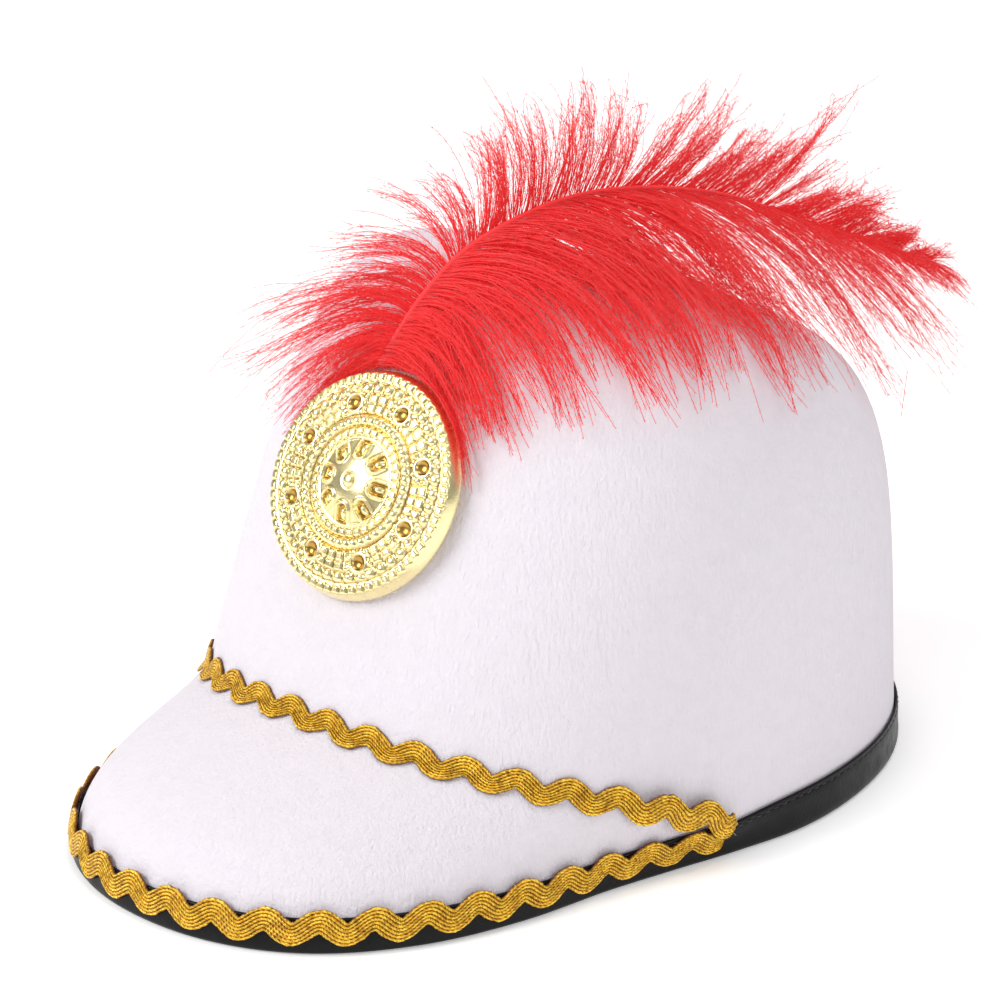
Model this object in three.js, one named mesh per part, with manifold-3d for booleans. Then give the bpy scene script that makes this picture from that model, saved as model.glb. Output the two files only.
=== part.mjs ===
// Drum major hat: a moulded white felt body with a peak, a bound edge, two wavy gold braids,
// a gold relief medallion and a red plume.
// Millimetres, +Z up, the peak towards -Y and the wearer's left towards +X.
// The origin is the centre of the head opening, on the plane that the hat rests on.
import * as THREE from "three";
import { mergeVertices } from "three/addons/utils/BufferGeometryUtils.js";
import Module from "manifold-3d";

const wasm = await Module();
wasm.setup();

const { sin, cos, abs, min, max, round, PI } = Math;
const radians = (degrees) => (degrees * PI) / 180;
const mix = (from, to, share) => from + (to - from) * share;
const steps = (count) => Array.from({ length: count }, (_, i) => i);

// Driving dimensions

const HEAD = { halfWidth: 83.5, halfLength: 106.2, centreY: 5, squareness: 2.29 };
const CROWN = {
  frontLean: 71.5, // how far the front, back and sides come in by the top
  backLean: 18.4,
  sideLean: 0.6,
  frontHeight: 158,
  backHeight: 113.2,
  shoulder: 5.5, // squareness of the turn from the wall to the top
};
const PEAK = {
  endAngle: radians(82), // where the crease runs out into the bound edge
  creaseHeight: 39,
  creaseFade: 0.8,
  edgeRise: 0.46, // shares of the span from edge to crease that rise steeply and that blend into the wall
  creaseBlend: 0.14,
};
const FELT = { wall: 2, edgeHeight: 1.6, roundSteps: 60, peakRows: 8, crownRows: 9, rowCrowding: 0.11 };
const BINDING = { height: 9.4, insideHeight: 8.6, middle: 0.55, thickness: 0.9, gap: 0.65 };
const BRAID = { width: 5.8, swing: 1.7, thickness: 1.1, gap: 0.5, wave: 14, stepsPerWave: 6 };
const EDGE_BRAID_RISE = 5.4; // its middle line, from the felt's edge up the outer face
const BRAID_CLIMB = { from: 42, to: 27 }; // before its ends, where the crease braid mounts the edge braid
const MEDALLION = { radius: 30.8, height: 96, standOff: 0.8, sideTurn: radians(3), sectors: 48 };
const QUILL = { rootRadius: 1.2, tipRadius: 0.4, sides: 6, steps: 16 };
const LOCK = { count: 13, rootWidth: 15, tipWidth: 2.5, rootThickness: 3, tipThickness: 0.9, steps: 4 };
const LOCK_SPREAD = 1.35; // above 1 the locks stand closer together towards the root
const LOCK_BOW = { along: 0.22, out: 0.45, up: 0.12 }; // shares of a lock's length that shape its arch
const PLUME_CLEARANCE = 6;

// How far the edge stands out at a turn from the front, in degrees, as a multiple of the head's oval: out to the
// peak at the front, then drawn in a little beside the crease's ends.
const EDGE = [
  { turn: 0, reach: 1.382 },
  { turn: 12, reach: 1.364 },
  { turn: 24, reach: 1.309 },
  { turn: 36, reach: 1.206 },
  { turn: 48, reach: 1.083 },
  { turn: 60, reach: 0.979 },
  { turn: 72, reach: 0.953 },
  { turn: 84, reach: 0.973 },
  { turn: 96, reach: 1.005 },
  { turn: 115, reach: 1.004 },
  { turn: 150, reach: 0.99 },
  { turn: 180, reach: 0.987 },
];

// Height of the medallion's face over its back, ring by ring from the rim to the centre. On a ring with bumps,
// that many of them stand out by raise; a negative raise makes dimples.
const RELIEF = [
  { radius: 1.0, height: 3.4, raise: 0, bumps: 0 },
  { radius: 0.975, height: 4.2, raise: 0, bumps: 0 },
  { radius: 0.93, height: 4.1, raise: 0.8, bumps: 24 },
  { radius: 0.885, height: 4.3, raise: 0, bumps: 0 },
  { radius: 0.83, height: 4.7, raise: 0.6, bumps: 24 },
  { radius: 0.735, height: 5.2, raise: -1.5, bumps: 8 },
  { radius: 0.64, height: 5.7, raise: 0.6, bumps: 24 },
  { radius: 0.585, height: 5.8, raise: 0, bumps: 0 },
  { radius: 0.53, height: 6.3, raise: 0.7, bumps: 24 },
  { radius: 0.475, height: 6.4, raise: 0, bumps: 0 },
  { radius: 0.42, height: 6.5, raise: 0.5, bumps: 24 },
  { radius: 0.375, height: 6.4, raise: 0, bumps: 0 },
  { radius: 0.285, height: 6.3, raise: 1.2, bumps: 8 },
  { radius: 0.19, height: 8.3, raise: 0, bumps: 0 },
  { radius: 0.1, height: 9.1, raise: 0, bumps: 0 },
];

// The quill's line, from behind the medallion, up over the crown and down past its back.
const QUILL_LINE = [
  { x: -9, y: -45.4, z: 123 },
  { x: -8.5, y: -44.4, z: 128 },
  { x: -7, y: -40.5, z: 134.5 },
  { x: -5.5, y: -32.4, z: 143 },
  { x: -4, y: -19, z: 151.5 },
  { x: -1, y: 15.9, z: 158.2 },
  { x: 0, y: 66.7, z: 149.6 },
  { x: 0, y: 118.2, z: 128.2 },
  { x: 0, y: 169.5, z: 106 },
];

// Where the plume's locks end, measured from their roots at a share of the quill's length, on its two sides.
const VANE = [
  { share: 0.075, left: { x: 44, y: -8, z: -21 }, right: { x: -35, y: -28, z: -24 } },
  { share: 0.1, left: { x: 54, y: -3, z: -18 }, right: { x: -38, y: -25, z: -4 } },
  { share: 0.14, left: { x: 63, y: 3, z: -16 }, right: { x: -32, y: -10, z: 9 } },
  { share: 0.2, left: { x: 76, y: 0, z: -32 }, right: { x: -26, y: 9, z: 23 } },
  { share: 0.27, left: { x: 79, y: 2, z: -33 }, right: { x: -20, y: 17, z: 34 } },
  { share: 0.35, left: { x: 78, y: 1, z: -35 }, right: { x: -17, y: 24, z: 24 } },
  { share: 0.46, left: { x: 66, y: -6, z: -41 }, right: { x: -15, y: 46, z: 4 } },
  { share: 0.58, left: { x: 53, y: 8, z: -33 }, right: { x: -13, y: 50, z: 3 } },
  { share: 0.7, left: { x: 37, y: 16, z: -27 }, right: { x: -11, y: 44, z: 2 } },
  { share: 0.85, left: { x: 20, y: 14, z: -17 }, right: { x: -6, y: 31, z: -1 } },
  { share: 1.0, left: { x: 4, y: 8, z: -5 }, right: { x: -1, y: 8, z: -3 } },
];

// Materials

const finish = (color, roughness, metalness = 0) =>
  new THREE.MeshStandardMaterial({ color, roughness, metalness });
const WHITE_FELT = finish(0xf1ecf3, 0.95);
const BLACK_VINYL = finish(0x2b2a2c, 0.45);
const GOLD_BRAID = finish(0xc08a1e, 0.4, 0.7);
const GOLD_PLATED_PLASTIC = finish(0xe8cf6a, 0.2, 1);
const RED_PLUME = finish(0xe8262d, 0.8);

// Meshes from rows of points

// Joins rows of points, each a closed loop, into one closed skin. A row drawn in to one point is a pole.
// With loop, the last row runs on into the first; otherwise open ends are capped.
function skin(rows, loop = false) {
  const sides = rows[0].length;
  const points = rows.flat();
  const faces = [];
  for (let row = 0; row < (loop ? rows.length : rows.length - 1); row++) {
    const next = (row + 1) % rows.length;
    for (let i = 0; i < sides; i++) {
      const j = (i + 1) % sides;
      const corners = [row * sides + i, row * sides + j, next * sides + j, next * sides + i];
      faces.push([corners[0], corners[1], corners[2]], [corners[0], corners[2], corners[3]]);
    }
  }
  if (!loop) {
    const last = (rows.length - 1) * sides;
    for (let i = 1; i < sides - 1; i++) faces.push([0, i + 1, i], [last, last + i, last + i + 1]);
  }
  return closedGeometry(points, faces);
}

// Merges equal points, drops faces without area and turns the faces outwards.
function closedGeometry(points, faces) {
  const geometry = new THREE.BufferGeometry().setFromPoints(points);
  geometry.setIndex(faces.flat());
  const merged = mergeVertices(geometry, 1e-4);
  const index = merged.index.array;
  const kept = [];
  for (let i = 0; i < index.length; i += 3) {
    const [a, b, c] = index.slice(i, i + 3);
    if (a !== b && b !== c && c !== a) kept.push([a, b, c]);
  }
  const corner = (i) => new THREE.Vector3().fromBufferAttribute(merged.attributes.position, i);
  const volume = kept.reduce((sum, [a, b, c]) => sum + corner(a).dot(corner(b).cross(corner(c))), 0);
  merged.setIndex((volume < 0 ? kept.map(([a, b, c]) => [a, c, b]) : kept).flat());
  merged.computeVertexNormals();
  return merged;
}

function fuse(geometries) {
  const solids = geometries.map((geometry) => {
    const bare = geometry.clone();
    bare.deleteAttribute("normal");
    return new wasm.Manifold(
      new wasm.Mesh({
        numProp: 3,
        vertProperties: bare.attributes.position.array,
        triVerts: new Uint32Array(bare.index.array),
      }),
    );
  });
  const whole = solids.reduce((sum, solid) => sum.add(solid)).getMesh();
  const geometry = new THREE.BufferGeometry();
  geometry.setAttribute("position", new THREE.BufferAttribute(whole.vertProperties, 3));
  geometry.setIndex(new THREE.BufferAttribute(whole.triVerts, 1));
  geometry.computeVertexNormals();
  return geometry;
}

// The felt body's outer face

// Sine and cosine of a turn round an oval whose squareness is 2 for an ellipse and more for a squarer form.
function oval(turn, squareness) {
  const size = (abs(sin(turn)) ** squareness + abs(cos(turn)) ** squareness) ** (1 / squareness);
  return { sine: sin(turn) / size, cosine: cos(turn) / size };
}

// The crown's level outline at a climb, which runs from 0 at the base to a right angle at the middle of the top.
function crownLevel(climb) {
  const { sine: rise, cosine: spread } = oval(climb, CROWN.shoulder);
  const frontY = HEAD.centreY - HEAD.halfLength + CROWN.frontLean * rise;
  const backY = HEAD.centreY + HEAD.halfLength - CROWN.backLean * rise;
  return {
    rise,
    halfWidth: spread * (HEAD.halfWidth - CROWN.sideLean * rise),
    halfLength: (spread * (backY - frontY)) / 2,
    centreY: (backY + frontY) / 2,
  };
}

// The top slopes straight from its front down to its back.
function crownHeight(y) {
  const frontY = HEAD.centreY - HEAD.halfLength + CROWN.frontLean;
  const backY = HEAD.centreY + HEAD.halfLength - CROWN.backLean;
  return mix(CROWN.frontHeight, CROWN.backHeight, (y - frontY) / (backY - frontY));
}

// Turn 0 is the front and positive turns go to the wearer's left.
function crownPoint(turn, climb) {
  const { rise, halfWidth, halfLength, centreY } = crownLevel(climb);
  const { sine, cosine } = oval(turn, HEAD.squareness);
  const y = centreY - halfLength * cosine;
  return new THREE.Vector3(halfWidth * sine, y, rise * crownHeight(y));
}

// Bisection for the value between low and high at which a rising function reaches a goal.
function solve(rising, goal, low, high) {
  for (let i = 0; i < 40; i++) {
    const middle = (low + high) / 2;
    if (rising(middle) < goal) low = middle;
    else high = middle;
  }
  return (low + high) / 2;
}

// The share of a right angle through which the peak has swung at a turn, kept to its two ends.
const peakSwing = (turn) => (max(-1, min(1, turn / PEAK.endAngle)) * PI) / 2;

const edgeReach = new THREE.CubicInterpolant(
  EDGE.map((row) => radians(row.turn)),
  EDGE.map((row) => row.reach),
  1,
);
edgeReach.settings = { endingStart: THREE.ZeroSlopeEnding, endingEnd: THREE.ZeroSlopeEnding };

function edgePoint(turn) {
  const reach = edgeReach.evaluate(min(abs(turn), 2 * PI - abs(turn)))[0];
  const { sine, cosine } = oval(turn, HEAD.squareness);
  const x = HEAD.halfWidth * reach * sine;
  return new THREE.Vector3(x, HEAD.centreY - HEAD.halfLength * reach * cosine, FELT.edgeHeight);
}

function creaseHeight(turn) {
  const fade = max(0, cos(peakSwing(turn))) ** PEAK.creaseFade;
  return mix(BINDING.height, PEAK.creaseHeight, fade);
}

// What one upright slice of the outer face needs: the climb at its crease and the curve from edge to crease.
const slices = new Map();
function slice(turn) {
  if (!slices.has(turn)) {
    const climb = solve((c) => crownPoint(turn, c).z, creaseHeight(turn), 0, PI / 4);
    const edge = edgePoint(turn);
    const crease = crownPoint(turn, climb);
    const span = crease.distanceTo(edge);
    const downWall = crownPoint(turn, climb * 0.98).sub(crease).normalize();
    const overEdge = edge.clone().add(new THREE.Vector3(0, 0, span * PEAK.edgeRise));
    const underCrease = crease.clone().addScaledVector(downWall, span * PEAK.creaseBlend);
    slices.set(turn, { climb, curve: new THREE.CubicBezierCurve3(edge, overEdge, underCrease, crease) });
  }
  return slices.get(turn);
}

// Along runs from 0 at the edge through 1 at the crease to 2 at the middle of the top.
function feltPoint(turn, along) {
  const { climb, curve } = slice(turn);
  return along <= 1 ? curve.getPoint(along) : crownPoint(turn, mix(climb, PI / 2, along - 1));
}

function feltNormal(turn, along) {
  const reach = 1e-3;
  const inside = min(along, 1.97);
  const across = feltPoint(turn + reach, inside).sub(feltPoint(turn - reach, inside));
  const upward = feltPoint(turn, inside + reach).sub(feltPoint(turn, max(0, inside - reach)));
  return across.cross(upward).normalize();
}

const offFelt = (turn, along, offset) =>
  feltPoint(turn, along).addScaledVector(feltNormal(turn, along), offset);

// The along value at a distance up the outer face from the edge.
const RULER_STEPS = 60;
const RULER_END = 1.4;
const rulers = new Map();
function alongAt(turn, distance) {
  if (!rulers.has(turn)) {
    const marks = [0];
    for (const i of steps(RULER_STEPS)) {
      const [from, to] = [i, i + 1].map((k) => feltPoint(turn, (k / RULER_STEPS) * RULER_END));
      marks.push(marks[i] + from.distanceTo(to));
    }
    rulers.set(turn, marks);
  }
  const marks = rulers.get(turn);
  const upper = max(1, marks.findIndex((mark) => mark >= distance));
  const share = (distance - marks[upper - 1]) / (marks[upper] - marks[upper - 1]);
  return ((upper - 1 + share) / RULER_STEPS) * RULER_END;
}

function creaseDistance(turn) {
  return solve((distance) => alongAt(turn, distance), 1, 1, 90);
}

const TURNS = steps(FELT.roundSteps).map((i) => (i / FELT.roundSteps) * 2 * PI - PI);

// Felt body: crown and peak moulded as one wall

function feltBody() {
  const crowded = (share) => share - FELT.rowCrowding * sin(2 * PI * share);
  const alongs = [
    ...steps(FELT.peakRows).map((i) => crowded(i / FELT.peakRows)),
    ...steps(FELT.crownRows).map((i) => 1 + i / FELT.crownRows),
  ];
  const row = (along, offset) => TURNS.map((turn) => offFelt(turn, along, offset));
  const outer = alongs.map((along) => row(along, 0));
  const inner = alongs.map((along) => row(along, -FELT.wall));
  for (const point of inner[0]) point.setZ(FELT.edgeHeight);
  const top = feltPoint(0, 2);
  const topInside = top.clone().addScaledVector(feltNormal(0, 2).add(feltNormal(PI, 2)).normalize(), -FELT.wall);
  const pole = (point) => TURNS.map(() => point);
  return skin([...outer, pole(top), pole(topInside), ...inner.reverse()], true);
}

// Edge binding: a strip folded over the felt's edge, all the way round

function edgeBinding() {
  const near = BINDING.gap;
  const far = BINDING.gap + BINDING.thickness;
  const leg = (rise, offset) => TURNS.map((turn) => offFelt(turn, alongAt(turn, rise), offset));
  const level = (row, z) => row.map((point) => point.setZ(z));
  const middle = BINDING.height * BINDING.middle;
  const lowInside = -FELT.wall - near;
  const deepInside = -FELT.wall - far;
  return skin(
    [
      level(leg(0, far), 0),
      leg(middle, far),
      leg(BINDING.height, far),
      leg(BINDING.height, near),
      leg(middle, near),
      level(leg(0, near), BINDING.thickness),
      level(leg(0, lowInside), BINDING.thickness),
      leg(middle, lowInside),
      leg(BINDING.insideHeight, lowInside),
      leg(BINDING.insideHeight, deepInside),
      leg(middle, deepInside),
      level(leg(0, deepInside), 0),
    ],
    true,
  );
}

// Braids: flat ribbons that swing from side to side of a line on the felt

// Lays a braid along a line given by its distance up the felt and its offset from it, at each turn.
function braid(rise, offset) {
  const fine = 240;
  const turns = steps(fine + 1).map((i) => mix(-PEAK.endAngle, PEAK.endAngle, i / fine));
  const line = turns.map((turn) => feltPoint(turn, alongAt(turn, rise(turn))));
  const lengths = [0];
  for (const i of steps(fine)) lengths.push(lengths[i] + line[i].distanceTo(line[i + 1]));
  const total = lengths[fine];
  const turnAt = (length) => {
    const upper = max(1, lengths.findIndex((mark) => mark >= length - 1e-6));
    const share = (length - lengths[upper - 1]) / (lengths[upper] - lengths[upper - 1]);
    return mix(turns[upper - 1], turns[upper], share);
  };
  const waves = round(total / BRAID.wave);
  const phasePerLength = (2 * PI * waves) / total;
  const rows = steps(waves * BRAID.stepsPerWave + 1).map((i) => {
    const length = (i / (waves * BRAID.stepsPerWave)) * total;
    const slope = BRAID.swing * phasePerLength * cos(phasePerLength * length);
    const lean = new THREE.Vector2(-slope, 1).normalize().multiplyScalar(BRAID.width / 2);
    const centre = BRAID.swing * sin(phasePerLength * length);
    const corner = (side, height) => {
      const at = min(total, max(0, length + side * lean.x));
      const turn = turnAt(at);
      const distance = rise(turn) + centre + side * lean.y;
      return offFelt(turn, alongAt(turn, distance), offset(min(at, total - at)) + height);
    };
    return [corner(-1, 0), corner(1, 0), corner(1, BRAID.thickness), corner(-1, BRAID.thickness)];
  });
  return skin(rows);
}

const EDGE_BRAID_OFFSET = BINDING.gap + BINDING.thickness + BRAID.gap;

const edgeBraid = () =>
  braid(
    () => EDGE_BRAID_RISE,
    () => EDGE_BRAID_OFFSET,
  );

function creaseBraid() {
  const onTop = EDGE_BRAID_OFFSET + BRAID.thickness + BRAID.gap * 2;
  const offset = (toEnd) =>
    mix(onTop, BRAID.gap, THREE.MathUtils.smoothstep(toEnd, BRAID_CLIMB.to, BRAID_CLIMB.from));
  return braid(creaseDistance, offset);
}

// Medallion: a round plate with relief on its face, made lying flat with its back at z 0

function medallion() {
  const ring = (radius, heightAt) =>
    steps(MEDALLION.sectors).map((i) => {
      const turn = (i / MEDALLION.sectors) * 2 * PI;
      return new THREE.Vector3(radius * cos(turn), radius * sin(turn), heightAt(turn));
    });
  const face = RELIEF.map(({ radius, height, raise, bumps }) =>
    ring(radius * MEDALLION.radius, (turn) => height + raise * max(0, cos(bumps * turn)) ** 2 * min(1, bumps)),
  );
  const centre = RELIEF.at(-1).height + 0.2;
  return skin([
    ring(0, () => 0),
    ring(MEDALLION.radius, () => 0),
    ...face,
    ring(0, () => centre),
  ]);
}

function placeOnCrown(mesh) {
  const along = 1 + solve((a) => feltPoint(0, 1 + a).z, MEDALLION.height, 0, 0.6);
  const normal = feltNormal(0, along);
  mesh.position.copy(offFelt(0, along, MEDALLION.standOff));
  const across = new THREE.Vector3(0, 0, 1).cross(normal).normalize();
  mesh.quaternion.setFromRotationMatrix(
    new THREE.Matrix4().makeBasis(across, normal.clone().cross(across), normal),
  );
  mesh.rotateY(MEDALLION.sideTurn);
  return mesh;
}

// Plume: one quill with locks of barbs fused along both of its sides

// The crown's height over a point of the plan, or below the floor outside it.
function crownHeightAt(x, y) {
  const p = HEAD.squareness;
  const reach = (climb) => {
    const { halfWidth, halfLength, centreY } = crownLevel(climb);
    return (abs(x / halfWidth) ** p + abs((y - centreY) / halfLength) ** p) ** (1 / p);
  };
  if (reach(0) > 1) return -1;
  return crownLevel(solve(reach, 1, 0, PI / 2)).rise * crownHeight(y);
}

function clearOfCrown(point) {
  point.z = max(point.z, crownHeightAt(point.x, point.y) + PLUME_CLEARANCE);
  return point;
}

// The vane's ends at a share of the quill, between the two nearest rows of the table.
function vaneEnd(share, side) {
  const upper = max(1, VANE.findIndex((row) => row.share >= share));
  const [from, to] = [VANE[upper - 1], VANE[upper]];
  const part = max(0, (share - from.share) / (to.share - from.share));
  const end = (row) => new THREE.Vector3(row[side].x, row[side].y, row[side].z);
  return end(from).lerp(end(to), part);
}

function quill(line) {
  const rows = steps(QUILL.steps + 1).map((i) => {
    const share = i / QUILL.steps;
    const radius = mix(QUILL.rootRadius, QUILL.tipRadius, share);
    const tangent = line.getTangentAt(share);
    const across = new THREE.Vector3(1, 0, 0);
    const over = tangent.clone().cross(across).normalize();
    return steps(QUILL.sides).map((k) => {
      const turn = (k / QUILL.sides) * 2 * PI;
      return line
        .getPointAt(share)
        .addScaledVector(across, radius * cos(turn))
        .addScaledVector(over, radius * sin(turn));
    });
  });
  return skin(rows);
}

function lock(line, share, side) {
  const root = line.getPointAt(share);
  const tangent = line.getTangentAt(share);
  const throwOut = vaneEnd(share, side);
  const length = throwOut.length();
  const bend = root
    .clone()
    .addScaledVector(tangent, LOCK_BOW.along * length)
    .addScaledVector(throwOut, LOCK_BOW.out)
    .add(new THREE.Vector3(0, 0, LOCK_BOW.up * length));
  const arc = new THREE.QuadraticBezierCurve3(root, bend, root.clone().add(throwOut));
  const rows = steps(LOCK.steps + 1).map((i) => {
    const part = i / LOCK.steps;
    const heading = arc.getTangent(part);
    const flat = tangent.clone().addScaledVector(heading, -tangent.dot(heading)).normalize();
    const thick = heading.clone().cross(flat);
    const width = mix(LOCK.rootWidth, LOCK.tipWidth, part ** 3);
    const depth = mix(LOCK.rootThickness, LOCK.tipThickness, part);
    const centre = clearOfCrown(arc.getPoint(part));
    const corner = (direction, size) => centre.clone().addScaledVector(direction, size / 2);
    return [corner(flat, -width), corner(thick, -depth), corner(flat, width), corner(thick, depth)];
  });
  return skin(rows);
}

function plume() {
  const line = new THREE.CatmullRomCurve3(QUILL_LINE.map(({ x, y, z }) => new THREE.Vector3(x, y, z)));
  const [first, last] = [VANE[0].share, 0.97];
  const locks = steps(LOCK.count).flatMap((i) => {
    const share = mix(first, last, (i / (LOCK.count - 1)) ** LOCK_SPREAD);
    return [lock(line, share, "left"), lock(line, share, "right")];
  });
  return fuse([quill(line), ...locks]);
}

// Assembly

const piece = (name, geometry, material) => {
  const mesh = new THREE.Mesh(geometry, material);
  mesh.name = name;
  return mesh;
};

const hat = new THREE.Group();
hat.add(piece("felt_body", feltBody(), WHITE_FELT));
hat.add(piece("edge_binding", edgeBinding(), BLACK_VINYL));
hat.add(piece("crease_braid", creaseBraid(), GOLD_BRAID));
hat.add(piece("edge_braid", edgeBraid(), GOLD_BRAID));
hat.add(placeOnCrown(piece("medallion", medallion(), GOLD_PLATED_PLASTIC)));
hat.add(piece("plume", plume(), RED_PLUME));

export default hat;
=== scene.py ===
import math

import bmesh
import bpy
import numpy as np
from mathutils import Matrix, Vector


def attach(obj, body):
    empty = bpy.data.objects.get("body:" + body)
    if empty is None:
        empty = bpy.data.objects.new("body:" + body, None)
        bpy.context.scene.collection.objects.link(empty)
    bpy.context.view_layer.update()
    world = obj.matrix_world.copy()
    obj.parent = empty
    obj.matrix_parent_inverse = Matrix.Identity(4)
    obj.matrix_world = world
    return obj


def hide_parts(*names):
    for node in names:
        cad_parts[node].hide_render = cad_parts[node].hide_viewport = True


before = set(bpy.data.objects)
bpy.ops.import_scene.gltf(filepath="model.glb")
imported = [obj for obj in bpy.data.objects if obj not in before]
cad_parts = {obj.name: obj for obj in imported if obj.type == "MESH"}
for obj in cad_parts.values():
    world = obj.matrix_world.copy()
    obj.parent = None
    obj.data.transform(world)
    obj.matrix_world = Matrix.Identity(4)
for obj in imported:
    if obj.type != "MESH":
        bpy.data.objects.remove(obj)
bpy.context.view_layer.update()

MM = 0.001
PI = math.pi
UP = np.array([0.0, 0.0, 1.0])

# Driving dimensions

HEAD = {"half_width": 83.5, "half_length": 106.2, "centre_y": 5, "squareness": 2.29}
CROWN = {
    "front_lean": 71.5,
    "back_lean": 18.4,
    "side_lean": 0.6,
    "front_height": 158,
    "back_height": 113.2,
    "shoulder": 5.5,
}
PEAK = {
    "end_angle": math.radians(82),
    "crease_height": 39,
    "crease_fade": 0.8,
    "edge_rise": 0.46,
    "crease_blend": 0.14,
}
FELT = {"wall": 2, "edge_height": 1.6}
BINDING_HEIGHT = 9.4
MEDALLION = {"radius": 30.8, "height": 96, "stand_off": 0.8, "side_turn": math.radians(3)}

# How far the edge stands out at a turn from the front, as a multiple of the head's oval: (degrees, reach)
EDGE = [
    (0, 1.382),
    (12, 1.364),
    (24, 1.309),
    (36, 1.206),
    (48, 1.083),
    (60, 0.979),
    (72, 0.953),
    (84, 0.973),
    (96, 1.005),
    (115, 1.004),
    (150, 0.99),
    (180, 0.987),
]

QUILL_LINE = [
    (-9, -45.4, 123),
    (-8.5, -44.4, 128),
    (-7, -40.5, 134.5),
    (-5.5, -32.4, 143),
    (-4, -19, 151.5),
    (-1, 15.9, 158.2),
    (0, 66.7, 149.6),
    (0, 118.2, 128.2),
    (0, 169.5, 106),
]

# Where the barbs end, measured from their roots at a share of the quill:
# (share, wearer's left, wearer's right)
VANE = [
    (0.015, (36, -9, -21), (-24, -10, -24)),
    (0.045, (42, -8, -21), (-34, -23, -19)),
    (0.075, (44, -8, -21), (-38, -26, -11)),
    (0.1, (54, -3, -18), (-38, -24, -2)),
    (0.12, (58, 0, -17), (-25, -13, 4)),
    (0.145, (62, 2, -17), (-20, -4, 12)),
    (0.17, (65, 1, -22), (-16, 3, 18)),
    (0.2, (67, 0, -27), (-14, 8, 23.5)),
    (0.27, (69, 2, -28), (-12, 12, 23.5)),
    (0.35, (67, 1, -29), (-10, 17, 18)),
    (0.46, (62, 4, -33), (-9, 36, 9)),
    (0.58, (53, 12, -31), (-7, 41, 6)),
    (0.7, (41, 18, -27), (-6, 32, 4)),
    (0.85, (20, 14, -16), (-4, 22, 1)),
    (1.0, (4, 8, -5), (-1, 8, -3)),
]


def mix(low, high, share):
    return low + (high - low) * share


def smooth_step(value, low, high):
    share = np.clip((value - low) / (high - low), 0, 1)
    return share * share * (3 - 2 * share)


def unit(vectors):
    return vectors / np.maximum(np.linalg.norm(vectors, axis=-1, keepdims=True), 1e-9)


def lengths_along(points):
    """The length from a line's start to each of its points."""
    return np.concatenate([[0], np.cumsum(np.linalg.norm(np.diff(points, axis=0), axis=1))])


def read_rows(share, shares, rows):
    """Rows of three numbers, read between the shares at which they are given."""
    return np.stack([np.interp(share, shares, rows[:, axis]) for axis in range(3)], -1)


def hermite(share, start, end, start_slope, end_slope):
    """A smooth way from start to end, with slopes measured over the whole step."""
    first = (1 + 2 * share) * (1 - share) ** 2 * start + share * (1 - share) ** 2 * start_slope
    second = share**2 * (3 - 2 * share) * end + share**2 * (share - 1) * end_slope
    return first + second


def last_true(low, high, test, rounds):
    """Where a test that holds at low and not at high stops holding, found by halving."""
    for _ in range(rounds):
        middle = (low + high) / 2
        holds = test(middle)
        low, high = np.where(holds, middle, low), np.where(holds, high, middle)
    return low


# The felt's outer face

NEAR_CREASE = 0.98  # the share of the crease's climb at which the wall's slope under it is read
STEADY_ALONG = 1.97  # how near the top's middle the felt's normal is read


def oval(turn, squareness):
    """Sine and cosine of a turn round an oval, an ellipse at squareness 2."""
    sine, cosine = np.sin(turn), np.cos(turn)
    size = (np.abs(sine) ** squareness + np.abs(cosine) ** squareness) ** (1 / squareness)
    return sine / size, cosine / size


def crown_ends(rise):
    """How far the crown's level outline reaches to the front and the back."""
    front = HEAD["centre_y"] - HEAD["half_length"] + CROWN["front_lean"] * rise
    return front, HEAD["centre_y"] + HEAD["half_length"] - CROWN["back_lean"] * rise


def crown_level(climb):
    """The crown's level outline at a climb: its rise, half width, half length and middle."""
    rise, spread = oval(climb, CROWN["shoulder"])
    front, back = crown_ends(rise)
    half_width = spread * (HEAD["half_width"] - CROWN["side_lean"] * rise)
    return rise, half_width, spread * (back - front) / 2, (back + front) / 2


def crown_height(y):
    front, back = crown_ends(1)
    return mix(CROWN["front_height"], CROWN["back_height"], (y - front) / (back - front))


def crown_point(turn, climb):
    rise, half_width, half_length, middle = crown_level(climb)
    sine, cosine = oval(turn, HEAD["squareness"])
    y = middle - half_length * cosine
    return np.stack([half_width * sine, y, rise * crown_height(y)], -1)


def half_turn(turn):
    """The hat is the same on both sides, so a turn is read as its angle from the front."""
    return np.minimum(np.abs(turn), 2 * PI - np.abs(turn))


def edge_reach(turn):
    """A smooth curve through EDGE, level at the front and the back."""
    marks = np.radians([row[0] for row in EDGE])
    reach = np.array([row[1] for row in EDGE])
    rates = np.diff(reach) / np.diff(marks)
    slopes = np.concatenate([[0], (rates[1:] + rates[:-1]) / 2, [0]])
    at = half_turn(turn)
    low = np.clip(np.searchsorted(marks, at) - 1, 0, len(marks) - 2)
    step = marks[low + 1] - marks[low]
    share = (at - marks[low]) / step
    return hermite(share, reach[low], reach[low + 1], step * slopes[low], step * slopes[low + 1])


def edge_point(turn):
    sine, cosine = oval(turn, HEAD["squareness"])
    reach = edge_reach(turn)
    x = HEAD["half_width"] * reach * sine
    y = HEAD["centre_y"] - HEAD["half_length"] * reach * cosine
    return np.stack([x, y, np.full_like(x, FELT["edge_height"])], -1)


def crease_height(turn):
    swing = np.clip(half_turn(turn) / PEAK["end_angle"], 0, 1) * PI / 2
    return mix(BINDING_HEIGHT, PEAK["crease_height"], np.maximum(0, np.cos(swing)) ** PEAK["crease_fade"])


def find_crease(turn):
    """The climb at which the crown's wall reaches the crease."""
    def below(climb):
        return crown_point(turn, climb)[..., 2] < crease_height(turn)

    return last_true(np.zeros_like(turn), np.full_like(turn, PI / 4), below, 40)


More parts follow.
